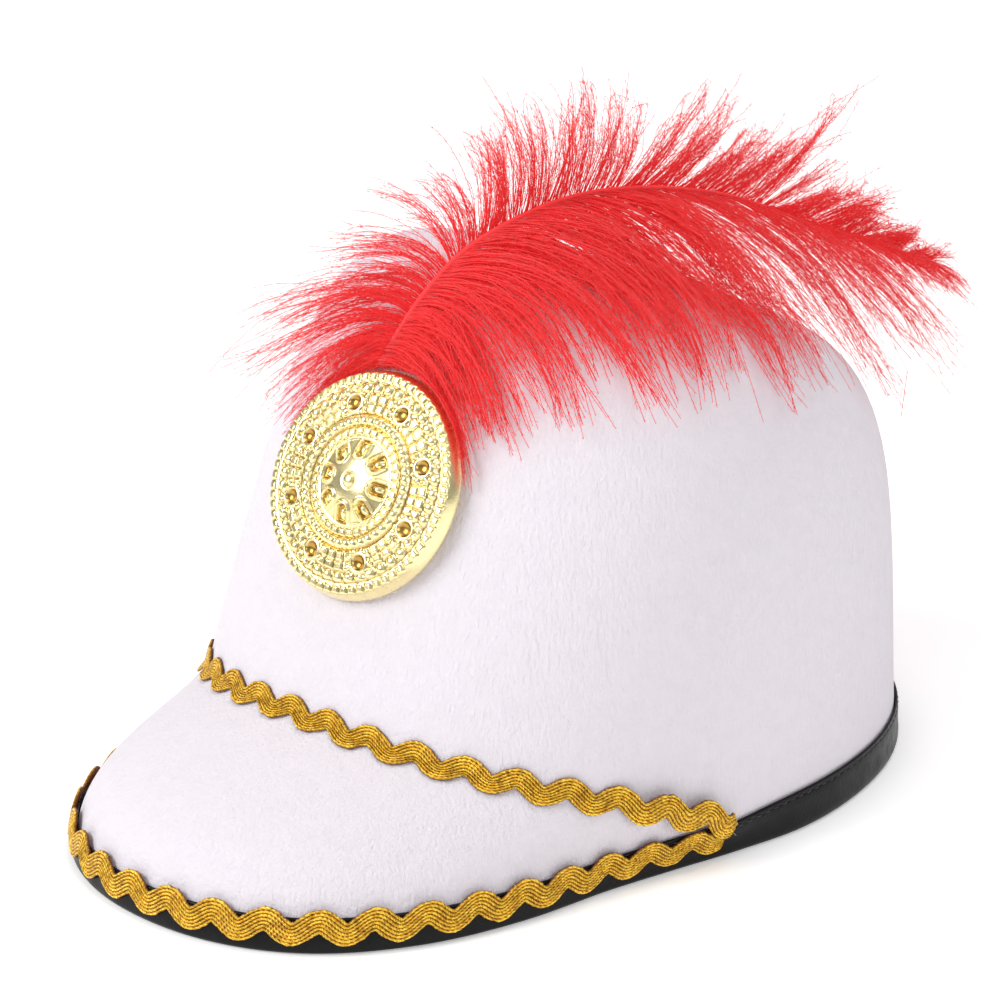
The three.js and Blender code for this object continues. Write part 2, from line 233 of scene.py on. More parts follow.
MARK_TURNS = np.linspace(0, PI, 721)
MARK_CLIMBS = find_crease(MARK_TURNS)


def felt_point(turn, along):
    """Along runs from 0 at the edge through 1 at the crease to 2 at the middle of the top."""
    turn, along = np.broadcast_arrays(np.asarray(turn, float), np.asarray(along, float))
    climb = np.interp(half_turn(turn), MARK_TURNS, MARK_CLIMBS)
    edge = edge_point(turn)
    crease = crown_point(turn, climb)
    span = np.linalg.norm(crease - edge, axis=-1, keepdims=True)
    over_edge = edge + span * PEAK["edge_rise"] * UP
    slope = unit(crown_point(turn, climb * NEAR_CREASE) - crease)
    under_crease = crease + slope * span * PEAK["crease_blend"]
    part = np.clip(along, 0, 1)[..., None]
    rest = 1 - part
    peak = rest**3 * edge + 3 * rest**2 * part * over_edge
    peak = peak + 3 * rest * part**2 * under_crease + part**3 * crease
    crown = crown_point(turn, mix(climb, PI / 2, np.clip(along - 1, 0, 1)))
    return np.where(along[..., None] <= 1, peak, crown)


def felt_normal(turn, along):
    reach = 1e-3
    inside = np.minimum(along, STEADY_ALONG)
    across = felt_point(turn + reach, inside) - felt_point(turn - reach, inside)
    upward = felt_point(turn, inside + reach) - felt_point(turn, np.maximum(0, inside - reach))
    return unit(np.cross(across, upward))


def off_felt(turn, along, offset):
    return felt_point(turn, along) + felt_normal(turn, along) * np.asarray(offset, float)[..., None]


RULER_ALONG = np.linspace(0, 1.4, 141)
RULER_POINTS = felt_point(MARK_TURNS[:, None], RULER_ALONG[None, :])
RULER_STEPS = np.linalg.norm(np.diff(RULER_POINTS, axis=1), axis=-1)
RULERS = np.concatenate([np.zeros((len(MARK_TURNS), 1)), np.cumsum(RULER_STEPS, axis=1)], axis=1)


def along_at(turn, distance):
    """The along value at a distance up the outer face from the edge."""
    turn, distance = np.broadcast_arrays(np.asarray(turn, float), np.asarray(distance, float))
    place = half_turn(turn).ravel() / MARK_TURNS[1]
    low = np.clip(place.astype(int), 0, len(MARK_TURNS) - 2)
    ruler = mix(RULERS[low], RULERS[low + 1], (place - low)[:, None])
    goal = distance.ravel()
    upper = np.clip((ruler < goal[:, None]).sum(1), 1, len(RULER_ALONG) - 1)
    rows = np.arange(len(goal))
    below, above = ruler[rows, upper - 1], ruler[rows, upper]
    found = mix(RULER_ALONG[upper - 1], RULER_ALONG[upper], (goal - below) / (above - below))
    return found.reshape(turn.shape)


def crease_distance(turn):
    at_crease = RULERS[:, np.searchsorted(RULER_ALONG, 1 - 1e-6)]
    return np.interp(half_turn(turn), MARK_TURNS, at_crease)


def over_felt(turn, distance, offset):
    return off_felt(turn, along_at(turn, distance), offset)


# Materials

COLOURS = {
    "felt": ((0.825, 0.777, 0.83), (0.856, 0.806, 0.859)),
    "vinyl": ((0.003, 0.0028, 0.003), (0.007, 0.0066, 0.0072)),
    "thread": ((0.01, 0.01, 0.011), (0.05, 0.048, 0.05)),
    # braid: painted shade, brown, in the furrows and on slanting stretches, blending to the cords' gold; the
    # glint colour below is painted glints on the cords
    "braid": ((0.11, 0.024, 0.0005), (1.0, 0.47, 0.008)),
    "braid_painted_glint": ((0, 0, 0), (1.0, 0.74, 0.09)),
    # plated: the face's gold, then painted shade, brown, for its hollows and dimples
    "plated": ((1.0, 0.88, 0.47), (0.52, 0.31, 0.075)),
    "feather": ((0.92, 0.008, 0.013), (1.0, 0.07, 0.07)),
}
THREAD = {"pitch": 0.85, "slant": 0.9}  # a twisted thread's turns: millimetres, and turns across a cord


def new_material(name, inputs):
    material = bpy.data.materials.new(name)
    material.use_nodes = True
    shader = material.node_tree.nodes["Principled BSDF"]
    for socket, value in inputs.items():
        shader.inputs[socket].default_value = value
    return material, material.node_tree, shader


def add_node(tree, kind, inputs=None, **settings):
    node = tree.nodes.new(kind)
    for name, value in settings.items():
        setattr(node, name, value)
    for name, value in (inputs or {}).items():
        node.inputs[name].default_value = value
    return node


def link(tree, source, output, target, socket):
    tree.links.new(source.outputs[output], target.inputs[socket])


def add_product(tree, first, second, clamp=False):
    """Multiplies two outputs, each given as a node and the output's name."""
    node = add_node(tree, "ShaderNodeMath", operation="MULTIPLY", use_clamp=clamp)
    for socket, (source, output) in enumerate((first, second)):
        link(tree, source, output, node, socket)
    return node


def new_group(name, floats, made):
    """A node group with a vector and some floats going in, and one float coming out."""
    group = bpy.data.node_groups.new(name, "ShaderNodeTree")
    group.interface.new_socket("Vector", in_out="INPUT", socket_type="NodeSocketVector")
    for socket in floats:
        group.interface.new_socket(socket, in_out="INPUT", socket_type="NodeSocketFloat")
    group.interface.new_socket(made, in_out="OUTPUT", socket_type="NodeSocketFloat")
    return group, group.nodes.new("NodeGroupInput"), group.nodes.new("NodeGroupOutput")


def mottle_group():
    """Soft patches of any size, between two values."""
    group, given, made = new_group("mottle", ("Scale", "Low", "High"), "Value")
    patches = add_node(group, "ShaderNodeTexNoise", {"Detail": 5.0, "Roughness": 0.6})
    spread = add_node(group, "ShaderNodeMapRange", {"From Min": 0.3, "From Max": 0.7})
    link(group, given, "Vector", patches, "Vector")
    link(group, given, "Scale", patches, "Scale")
    link(group, patches, "Fac", spread, "Value")
    link(group, given, "Low", spread, "To Min")
    link(group, given, "High", spread, "To Max")
    link(group, spread, "Result", made, "Value")
    return group


def twist_group():
    """Slanting ridges of twisted thread, from a map that runs along a cord in millimetres
    and across it in cords."""
    group, given, made = new_group("twisted thread", ("Turns", "Slant"), "Height")
    parts = add_node(group, "ShaderNodeSeparateXYZ")
    link(group, given, "Vector", parts, "Vector")
    lengthwise = add_product(group, (parts, "X"), (given, "Turns"))
    crosswise = add_product(group, (parts, "Y"), (given, "Slant"))
    total = add_node(group, "ShaderNodeMath", operation="ADD")
    wave = add_node(group, "ShaderNodeMath", operation="SINE")
    lift = add_node(group, "ShaderNodeMapRange", {"From Min": -1.0, "From Max": 1.0})
    link(group, lengthwise, "Value", total, 0)
    link(group, crosswise, "Value", total, 1)
    link(group, total, "Value", wave, 0)
    link(group, wave, "Value", lift, "Value")
    link(group, lift, "Result", made, "Height")
    return group


MOTTLE = mottle_group()
TWIST = twist_group()


def add_mottle(tree, scale, low=0.0, high=1.0, source=None, output="Object"):
    """Soft patches over the object, or over another source's vector."""
    node = add_node(tree, "ShaderNodeGroup", {"Scale": scale, "Low": low, "High": high}, node_tree=MOTTLE)
    link(tree, source or add_node(tree, "ShaderNodeTexCoord"), output, node, "Vector")
    return node


def add_blend(tree, mask, output, low, high):
    """Two colours blended by a mask."""
    node = add_node(tree, "ShaderNodeMix", data_type="RGBA")
    node.inputs["A"].default_value = (*low, 1)
    node.inputs["B"].default_value = (*high, 1)
    link(tree, mask, output, node, "Factor")
    return node


def add_bump(tree, height, output, shader, strength, distance, under=None):
    node = add_node(tree, "ShaderNodeBump", {"Strength": strength, "Distance": distance})
    link(tree, height, output, node, "Height")
    if under:
        link(tree, under, "Normal", node, "Normal")
    link(tree, node, "Normal", shader, "Normal")
    return node


def colour(tree, shader, mask, output, name):
    """The shader's colour: a pair from COLOURS, blended by a mask."""
    blend = add_blend(tree, mask, output, *COLOURS[name])
    link(tree, blend, "Result", shader, "Base Color")


def gloss(tree, shader, scale, low, high):
    link(tree, add_mottle(tree, scale, low, high), "Value", shader, "Roughness")


def felt_material():
    looks = {"Roughness": 0.95, "Sheen Weight": 0.12, "Specular IOR Level": 0.15}
    material, tree, shader = new_material("white_felt", looks)
    place = add_node(tree, "ShaderNodeTexCoord")
    upright = add_node(tree, "ShaderNodeMapping", {"Scale": (1.0, 1.0, 0.3)})
    link(tree, place, "Object", upright, "Vector")
    tone = add_mottle(tree, scale=220.0)
    colour(tree, shader, tone, "Value", "felt")
    fibres = add_mottle(tree, scale=950.0, source=upright, output="Vector")
    nap = add_mottle(tree, scale=320.0)
    first = add_bump(tree, nap, "Value", shader, strength=0.3, distance=0.0006)
    add_bump(tree, fibres, "Value", shader, strength=0.52, distance=0.0006, under=first)
    return material


def vinyl_material():
    material, tree, shader = new_material("black_vinyl", {"Roughness": 0.4, "Specular IOR Level": 0.18})
    place = add_node(tree, "ShaderNodeTexCoord")
    tone = add_mottle(tree, scale=90.0)
    colour(tree, shader, tone, "Value", "vinyl")
    gloss(tree, shader, scale=240.0, low=0.27, high=0.46)
    grain = add_node(tree, "ShaderNodeTexVoronoi", {"Scale": 1300.0}, feature="SMOOTH_F1")
    link(tree, place, "Object", grain, "Vector")
    add_bump(tree, grain, "Distance", shader, strength=0.18, distance=0.0003)
    return material


def thread_material():
    material, tree, shader = new_material("stitch_thread", {"Roughness": 0.6})
    tone = add_mottle(tree, scale=700.0)
    colour(tree, shader, tone, "Value", "thread")
    add_bump(tree, tone, "Value", shader, strength=0.4, distance=0.0002)
    return material


def braid_material():
    """Gold thread, with painted shade, brown, in the furrows and painted glints in patches and specks on the
    cords' tops; it glows with its own painted colour.
    """
    # The emission is painted light: the braid glows with its own colour, painted shade and glints included,
    # so that its highlights look brighter.
    looks = {"Roughness": 0.3, "Metallic": 0.45, "Emission Strength": 0.22}
    material, tree, shader = new_material("gold_braid", looks)
    cords = add_node(tree, "ShaderNodeUVMap", uv_map="cords")
    twist = add_node(tree, "ShaderNodeGroup", node_tree=TWIST)
    twist.inputs["Turns"].default_value = 2 * PI / THREAD["pitch"]
    twist.inputs["Slant"].default_value = 2 * PI * THREAD["slant"]
    link(tree, cords, "UV", twist, "Vector")
    # The depth attribute, the glint patches and the twist's ridges make a mask of painted light: painted
    # shade in the furrows, on the slanting stretches and between the twists, painted glints on the cords; on
    # the loose ends the attribute holds random tone instead.
    deep = add_node(tree, "ShaderNodeAttribute", attribute_name="depth")
    painted_glint = add_mottle(tree, scale=700.0, low=0.35, high=1.9)
    lit = add_product(tree, (deep, "Fac"), (painted_glint, "Value"))
    ridges = add_node(tree, "ShaderNodeMapRange", {"To Min": 0.55})
    link(tree, twist, "Height", ridges, "Value")
    mask = add_product(tree, (lit, "Value"), (ridges, "Result"))
    gold = add_blend(tree, mask, "Value", *COLOURS["braid"])
    # Specks of painted glint, where the painted mask is light.
    specks = add_mottle(tree, scale=1300.0, low=-0.4, high=1.6)
    spark = add_product(tree, (specks, "Value"), (mask, "Value"), clamp=True)
    bright = add_blend(tree, spark, "Value", *COLOURS["braid_painted_glint"])
    link(tree, gold, "Result", bright, "A")
    # The painted colour also feeds the glow.
    for socket in ("Base Color", "Emission Color"):
        link(tree, bright, "Result", shader, socket)
    gloss(tree, shader, scale=900.0, low=0.2, high=0.42)
    add_bump(tree, twist, "Height", shader, strength=0.8, distance=0.00035)
    return material


def plated_material():
    material, tree, shader = new_material("gold_plated_plastic", {"Roughness": 0.12, "Metallic": 1.0})
    # The hollow attribute blends in painted shade, brown, in the face's sunk places and dimples.
    hollow = add_node(tree, "ShaderNodeAttribute", attribute_name="hollow")
    colour(tree, shader, hollow, "Fac", "plated")
    gloss(tree, shader, scale=160.0, low=0.2, high=0.32)
    ripple = add_mottle(tree, scale=110.0)
    add_bump(tree, ripple, "Value", shader, strength=0.08, distance=0.0008)
    return material


def feather_material():
    """Dyed feather. A little glow stands for the light that comes through the barbs."""
    looks = {
        "Roughness": 0.6,
        "Specular IOR Level": 0.25,
        "Sheen Weight": 0.5,
        "Sheen Tint": (1.0, 0.3, 0.3, 1),
        "Emission Color": (1.0, 0.02, 0.025, 1),
        "Emission Strength": 0.15,
    }
    material, tree, shader = new_material("red_feather", looks)
    shade = add_node(tree, "ShaderNodeAttribute", attribute_name="shade")
    patches = add_mottle(tree, scale=120.0, low=0.6)
    mask = add_product(tree, (shade, "Fac"), (patches, "Value"))
    colour(tree, shader, mask, "Value", "feather")
    fine = add_mottle(tree, scale=2500.0)
    add_bump(tree, fine, "Value", shader, strength=0.3, distance=0.0001)
    return material


# Meshes

def wrapped_grid(columns, rows, place, cords=None):
    """A flat grid moved onto place(across, along), which takes shares from 0 to 1.
    Cords gives the map's size, along and across, where a pattern follows the surface."""
    bm = bmesh.new()
    bmesh.ops.create_grid(bm, x_segments=columns, y_segments=rows, size=0.5)
    shares = np.array([vert.co for vert in bm.verts])[:, :2] + 0.5
    if cords:
        layer = bm.loops.layers.uv.new("cords")
        for face in bm.faces:
            for loop in face.loops:
                across, along = shares[loop.vert.index]
                loop[layer].uv = (along * cords[0], across * cords[1])
    for vert, point in zip(bm.verts, place(shares[:, 0], shares[:, 1])):
        vert.co = point * MM
    return bm


SEAM = 2e-6  # points that are nearer than this, in metres, become one


def close_seams(bm):
    bmesh.ops.remove_doubles(bm, verts=bm.verts, dist=SEAM)
    bmesh.ops.dissolve_degenerate(bm, edges=bm.edges, dist=1e-7)


def add_object(name, data):
    piece = bpy.data.objects.new(name, data)
    bpy.context.scene.collection.objects.link(piece)
    return piece


def show(name, mesh, material, node):
    """Puts a mesh in the scene as a piece that stands for a CAD node."""
    mesh.materials.append(material)
    mesh.polygons.foreach_set("use_smooth", [True] * len(mesh.polygons))
    piece = add_object(name, mesh)
    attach(piece, "root")
    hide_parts(node)
    return piece


def show_bmesh(name, bm, material, node):
    bmesh.ops.recalc_face_normals(bm, faces=bm.faces)
    mesh = bpy.data.meshes.new(name)
    bm.to_mesh(mesh)
    bm.free()
    return show(name, mesh, material, node)


def array_mesh(name, points, triangles, shades=None):
    mesh = bpy.data.meshes.new(name)
    mesh.vertices.add(len(points))
    mesh.vertices.foreach_set("co", (points * MM).astype(np.float32).ravel())
    mesh.loops.add(triangles.size)
    mesh.loops.foreach_set("vertex_index", triangles.astype(np.int32).ravel())
    mesh.polygons.add(len(triangles))
    mesh.polygons.foreach_set("loop_start", np.arange(0, triangles.size, 3, dtype=np.int32))
    mesh.update(calc_edges=True)
    if shades is not None:
        layer = mesh.attributes.new("shade", "FLOAT", "POINT")
        layer.data.foreach_set("value", shades.astype(np.float32))
    mesh.validate()
    return mesh


def rings_around(points, heading, facing, radius, sides, flatness=1.0):
    """A ring of points round each point of a line, with its first point towards facing."""
    first = unit(facing - (facing * heading).sum(-1, keepdims=True) * heading)
    second = np.cross(heading, first) * flatness
    turns = np.arange(sides) / sides * 2 * PI
    around = first[..., None, :] * np.cos(turns)[:, None] + second[..., None, :] * np.sin(turns)[:, None]
    return points[..., None, :] + np.asarray(radius)[..., None, None] * around


def strands(paths, radii, facing, sides=3, flatness=1.0):
    """Closed tubes along many paths: points and triangles. Each tube's flat side looks towards facing."""
    count, rows, _ = paths.shape
    rings = rings_around(paths, unit(np.gradient(paths, axis=1)), facing[:, None, :], radii, sides, flatness)
    row, side = np.meshgrid(np.arange(rows - 1), np.arange(sides), indexing="ij")
    a = row * sides + side
    b = row * sides + (side + 1) % sides
    wall = np.concatenate([np.stack([a, b, b + sides], -1), np.stack([a, b + sides, a + sides], -1)])
    fan = np.arange(1, sides - 1)
    start = np.stack([np.zeros_like(fan), fan + 1, fan], -1)
    end = np.stack([np.zeros_like(fan), fan, fan + 1], -1) + (rows - 1) * sides
    one = np.concatenate([wall.reshape(-1, 3), start, end])
    triangles = one[None] + (np.arange(count) * rows * sides)[:, None, None]
    return rings.reshape(-1, 3), triangles.reshape(-1, 3)


def spikes(roots, tips, facing, radius):
    """Thin closed spikes with a three-sided root: points and triangles."""
    ring = rings_around(roots, unit(tips - roots), facing, radius, 3)
    points = np.concatenate([ring, tips[:, None, :]], axis=1)
    one = np.array([[0, 1, 3], [1, 2, 3], [2, 0, 3], [2, 1, 0]])
    triangles = one[None] + (np.arange(len(roots)) * 4)[:, None, None]
    return points.reshape(-1, 3), triangles.reshape(-1, 3)


def join_arrays(parts):
    """Joins several (points, triangles, shades) into one."""
    starts = np.cumsum([0] + [len(points) for points, _, _ in parts[:-1]])
    points = np.concatenate([part[0] for part in parts])
    triangles = np.concatenate([part[1] + start for part, start in zip(parts, starts)])
    return points, triangles, np.concatenate([part[2] for part in parts])


# Felt body: crown and peak moulded as one wall

FELT_GRID = (240, 80)  # faces round the hat, and from the edge to the middle of the top
PEAK_ROWS_SHARE = 0.4


def felt_body():
    def place(across, along):
        on_peak = along / PEAK_ROWS_SHARE
        on_crown = 1 + (along - PEAK_ROWS_SHARE) / (1 - PEAK_ROWS_SHARE)
        return felt_point((2 * across - 1) * PI, np.where(along < PEAK_ROWS_SHARE, on_peak, on_crown))

    bm = wrapped_grid(*FELT_GRID, place)
    close_seams(bm)
    piece = show_bmesh("felt", bm, felt_material(), "felt_body")
    wall = piece.modifiers.new("wall", "SOLIDIFY")
    wall.thickness = FELT["wall"] * MM
    wall.offset = -1
    return piece


# Edge binding: a vinyl strip folded over the edge, with a row of stitches

# The folded strip's section, as a loop: (distance up the felt, offset from it, drop below the felt's edge)
BINDING_SECTION = [
    (9.2, 0.4, 0), (9.55, 0.52, 0), (9.65, 0.72, 0), (9.5, 0.95, 0), (9.1, 1.1, 0),
    (8.7, 1.12, 0), (8.45, 1.05, 0), (8.2, 0.85, 0), (7.95, 1.05, 0), (7.6, 1.16, 0),
    (5.7, 1.22, 0), (4.0, 1.26, 0), (2.2, 1.36, 0), (0.9, 1.5, 0), (0, 1.5, 0.3),
    (0, 1.3, 0.9), (0, 0.95, 1.4), (0, 0.4, 1.6), (0, -2.4, 1.6), (0, -2.95, 1.4),
    (0, -3.3, 0.9), (0, -3.5, 0.3), (1.2, -3.55, 0), (4.5, -3.55, 0), (8.2, -3.55, 0),
    (8.55, -3.35, 0), (8.6, -3.0, 0), (8.4, -2.7, 0), (4.5, -2.65, 0), (1.2, -2.65, 0),
    (0, -2.65, 0.7), (0, 0.5, 0.7), (1.2, 0.4, 0), (4.5, 0.4, 0),
]
BINDING_COLUMNS = 300
FRONT_FOLD = {"share": 0.8, "from": math.radians(55), "to": math.radians(90)}
STITCH = {"rise": 8.2, "offset": 1.05, "pitch": 3.4, "length": 2.3, "radius": 0.26, "rows": 5, "sides": 5}
STITCH_ENDS = {"dip": 0.35, "thinning": 0.5}


def binding_share(turn):
    """The strip is folded a little lower round the peak than round the back."""
    return mix(FRONT_FOLD["share"], 1, smooth_step(half_turn(turn), FRONT_FOLD["from"], FRONT_FOLD["to"]))


def binding():
    rises, offsets, drops = np.array(BINDING_SECTION + BINDING_SECTION[:1], float).T
    last = len(BINDING_SECTION)

    def place(across, along):
        row = np.rint(along * last).astype(int)
        turn = (2 * across - 1) * PI
        points = over_felt(turn, rises[row] * binding_share(turn), offsets[row])
        level = FELT["edge_height"] - drops[row]
        points[:, 2] = np.where(drops[row] > 0, level, points[:, 2])
        return points

    bm = wrapped_grid(BINDING_COLUMNS, last, place)
    close_seams(bm)
    return show_bmesh("binding", bm, vinyl_material(), "edge_binding")


def stitches():
    turns = np.linspace(-PI, PI, 2001)
    lengths = lengths_along(over_felt(turns, STITCH["rise"], np.full_like(turns, STITCH["offset"])))
    count = round(lengths[-1] / STITCH["pitch"])
    starts = np.arange(count) * lengths[-1] / count
    along = np.linspace(0, 1, STITCH["rows"])
    turn = np.interp(starts[:, None] + along * STITCH["length"], lengths, turns)
    ends = np.broadcast_to((2 * along - 1) ** 4, turn.shape)
    height = STITCH["offset"] - STITCH_ENDS["dip"] * ends
    paths = over_felt(turn, STITCH["rise"] * binding_share(turn), height)
    radii = STITCH["radius"] * (1 - STITCH_ENDS["thinning"] * ends)
    points, triangles = strands(paths, radii, np.tile(UP, (count, 1)), STITCH["sides"])
    mesh = array_mesh("stitches", points, triangles)
    return show("stitches", mesh, thread_material(), "edge_binding")


# Braids: flat ribbons of seven cords that swing from side to side

BRAID = {"width": 5.8, "swing": 1.65, "thickness": 1.0, "cords": 7, "end_turn": math.radians(80.5)}
BRAID_ROWS_PER_WAVE = 18
BRAID_POINTS_PER_CORD = 6
EDGE_BRAID = {"rise": 5.4, "offset": 1.42, "wave": 13.6}
CREASE_BRAID = {"wave": 13.8, "offset": 0.3, "end_offset": 2.55, "climb_from": 42, "climb_to": 27}
BRAID_BACK = 0.35  # the share of the thickness that lies under the furrows
# Painted light: how much darker the slanting stretches and the furrows are painted, and how quickly they
# darken; the level stretches keep a painted highlight
BRAID_PAINTED_SHADE = {"swing": 0.42, "fade": 1.5, "furrow": 2.1}
BRAID_ROUGHNESS = {"amount": 0.035, "from": 0.7}  # how the outer cords wander, in shares of half the width
FRAY = {"count": 40, "rows": 5, "length": 1.3, "shortest": 0.3, "stray": 0.35, "radius": 0.1, "taper": 0.6}
FRAY_ROOT = {"height": 0.6, "sink": 0.6, "back": 3}
FRAY_TONES = (0.4, 1)


class BraidLine:
    """The line that a braid follows over the felt, measured by length."""

    def __init__(self, rise, offset, wave):
        self.rise, self.offset = rise, offset
        self.turns = np.linspace(-BRAID["end_turn"], BRAID["end_turn"], 721)
        points = felt_point(self.turns, along_at(self.turns, rise(self.turns)))
        self.lengths = lengths_along(points)
        self.total = self.lengths[-1]
        self.waves = round(self.total / wave)

    def point(self, length, side, height):
        """A point at a length along the braid, side -1 to 1 across it and a height over its back."""
        phase = 2 * PI * self.waves / self.total
        slope = BRAID["swing"] * phase * np.cos(phase * length)
        lean = BRAID["width"] / 2 / np.sqrt(1 + slope**2)
        at = np.clip(length - side * slope * lean, 0, self.total)
        turn = np.interp(at, self.lengths, self.turns)
        distance = self.rise(turn) + BRAID["swing"] * np.sin(phase * length) + side * lean
        return over_felt(turn, distance, self.offset(np.minimum(at, self.total - at)) + height)


def cord_height(side):
    """Round cords beside each other, and how far each point lies from the furrow between two of them."""
    across = (side + 1) / 2 * BRAID["cords"]
    round_top = np.sqrt(np.maximum(0, 1 - (2 * (across % 1) - 1) ** 2))
    return BRAID["thickness"] * mix(BRAID_BACK, 1, round_top), round_top


def braid(name, line, node, material):
    top = BRAID["cords"] * BRAID_POINTS_PER_CORD
    columns = top + 2
    rows = line.waves * BRAID_ROWS_PER_WAVE
    wander = np.random.default_rng(rows).normal(0, BRAID_ROUGHNESS["amount"], (rows + 1, 2))

    def section(across):
        column = np.rint(across * columns)
        side = np.where(column <= top, 2 * column / top - 1, np.where(column == top + 1, 1, -1))
        return column, side

    def place(across, along):
        column, side = section(across)
        height = np.where(column == top + 1, 0, cord_height(side)[0])
        loose = wander[np.rint(along * rows).astype(int), (side > 0).astype(int)]
        side = side * (1 + loose * smooth_step(np.abs(side), BRAID_ROUGHNESS["from"], 1))
        return line.point(along * line.total, side, height)

    bm = wrapped_grid(columns, rows, place, cords=(line.total, BRAID["cords"] * columns / top))
    # The depth attribute holds painted light: painted shade in the furrows between cords and on the slanting
    # stretches, a painted highlight where the braid runs level
    depth = bm.verts.layers.float.new("depth")
    for index, vert in enumerate(bm.verts):
        column, side = section(np.array((index % (columns + 1)) / columns))
        swinging = abs(math.cos(2 * PI * line.waves * (index // (columns + 1)) / rows))
        glow = 1 - BRAID_PAINTED_SHADE["swing"] * swinging ** BRAID_PAINTED_SHADE["fade"]
        vert[depth] = float(cord_height(side)[1]) ** BRAID_PAINTED_SHADE["furrow"] * glow if column <= top else 0.0
    close_seams(bm)
    bmesh.ops.holes_fill(bm, edges=[edge for edge in bm.edges if edge.is_boundary], sides=0)
    return show_bmesh(name, bm, material, node)


def fray(name, line, node, material, seed):
    """Loose thread ends at the two cuts of a braid."""
    dice = np.random.default_rng(seed)
    count = FRAY["count"]
    side = dice.uniform(-1, 1, count)
    cut = line.total * (np.arange(count) % 2)
    steps = np.linspace(0, 1, FRAY["rows"])[:, None]
    reach = dice.uniform(FRAY["shortest"], 1, count)[:, None, None] * FRAY["length"]
    height = np.full(count, FRAY_ROOT["height"])
    root = line.point(cut, side, height)
    heading = unit(root - line.point(np.abs(cut - FRAY_ROOT["back"]), side, height))[:, None]
    stray = dice.normal(0, FRAY["stray"], (count, 3))[:, None]
    paths = root[:, None] - heading * FRAY_ROOT["sink"] + (heading * steps + stray * steps**2) * reach
    radii = np.broadcast_to(FRAY["radius"] * (1 - FRAY["taper"] * steps[:, 0]), (count, FRAY["rows"]))
    points, triangles = strands(paths, radii, np.tile(UP, (count, 1)))
    mesh = array_mesh(name, points, triangles)
    layer = mesh.attributes.new("depth", "FLOAT", "POINT")
    layer.data.foreach_set("value", dice.uniform(*FRAY_TONES, len(points)).astype(np.float32))
    return show(name, mesh, material, node)


def braids():
    gold = braid_material()
    edge_line = BraidLine(
        lambda turn: np.full_like(turn, EDGE_BRAID["rise"]),
        lambda to_end: np.full_like(to_end, EDGE_BRAID["offset"]),
        EDGE_BRAID["wave"],
    )

    def climbing(to_end):
        down = smooth_step(to_end, CREASE_BRAID["climb_to"], CREASE_BRAID["climb_from"])
        return mix(CREASE_BRAID["end_offset"], CREASE_BRAID["offset"], down)

    crease_line = BraidLine(crease_distance, climbing, CREASE_BRAID["wave"])
    braid("braid_on_edge", edge_line, "edge_braid", gold)
    braid("braid_on_crease", crease_line, "crease_braid", gold)
    fray("edge_braid_ends", edge_line, "edge_braid", gold, 11)
    fray("crease_braid_ends", crease_line, "crease_braid", gold, 12)


# Medallion: a plated disc with pressed relief

MEDALLION_SECTORS = 480
MEDALLION_RINGS = 110
FACE_EDGE = 0.956  # the face's outline, as a share of the radius
SIDE_WALL = [(0, 0), (0.99, 0), (0.995, 0.35), (0.992, 0.9), (0.98, 2.3), (0.967, 3.4), (0.963, 3.75)]
FACE_DOME = {"rim": 3.7, "rise": 2.45}
# Rings of rounded blocks: (inner and outer share of the radius, count, rise, bevel)
BLOCK_RINGS = [(0.893, 0.957, 66, 0.65, 0.7), (0.41, 0.47, 34, 0.55, 0.6)]
BAR_RINGS = [(0.602, 0.68, 44, 0.75, 0.7), (0.69, 0.762, 44, 0.75, 0.7)]
BLOCK_GAP = 0.3
# Thin raised and sunk lines: (share of the radius, half width, bevel, rise)
RING_LINES = [
    (0.877, 0.006, 0.012, 0.3),
    (0.864, 0.006, 0.012, -0.3),
    (0.583, 0.008, 0.012, -0.4),
    (0.482, 0.007, 0.012, -0.4),
    (0.385, 0.012, 0.014, 0.3),
    (0.068, 0.008, 0.012, -0.25),
]
DIMPLED_FROM = (0.575, 0.59)
DIMPLE = {"ring": 0.7, "count": 8, "first": math.radians(25), "radius": 2.05, "depth": 1.3, "bevel": 0.7}
COLLAR = {"radius": 2.95, "rise": 0.4, "room": (3.9, 4.3)}  # the bars and knobs end in the room round it
DIMPLE_BEADS = {"count": 9, "ring": 3.75, "radius": 0.75, "rise": 0.45}
KNOBS = {"count": 44, "ring": 0.82, "radius": 1.5, "rise": 0.85}
ROPE = {"count": 42, "ring": 0.533, "half": 0.044, "rise": 1.15, "fullness": 0.7, "least": 0.5}
BOSS = {"share": 0.38, "rise": 2.5, "fullness": 1.2}
NUB = {"share": 0.055, "rise": 0.6}
PETAL = {"ring": 0.265, "count": 8, "half_width": 2.05, "depth": 1.0, "wall": (0.1, 0.7)}
PETALS_END = (0.345, 0.37)
PETAL_RIM = {"width": 0.45, "rise": 0.55}
PETAL_HUMP = {"out": 0.7, "half_length": 1.4, "rise": 0.9}
HOLLOW = {"reach": 0.8, "depth": 0.4, "steps": 8}  # how far round a point, and how deep, a hollow is measured
FLAT_FACE = FACE_DOME["rim"] + 1  # the face's height before it takes its relief


def plateau(distance, half, bevel):
    """1 within half of the middle, falling to 0 over the bevel."""
    return 1 - smooth_step(np.abs(distance), half - bevel / 2, half + bevel / 2)


def bump(distance, radius):
    """A round bump, 1 at its middle."""
    return np.sqrt(np.maximum(0, 1 - (distance / radius) ** 2))


def ring_of(turn, count, offset=0.0):
    """The turn from the nearest of a ring's repeats."""
    pitch = 2 * PI / count
    return (turn - offset + pitch / 2) % pitch - pitch / 2


def from_nearest(radius, turn, ring):
    """The way from the nearest middle of a ring's repeats, outwards and sideways."""
    off = ring_of(turn, ring["count"], ring.get("first", 0.0))
    return radius * np.cos(off) - ring["ring"] * MEDALLION["radius"], radius * np.sin(off)


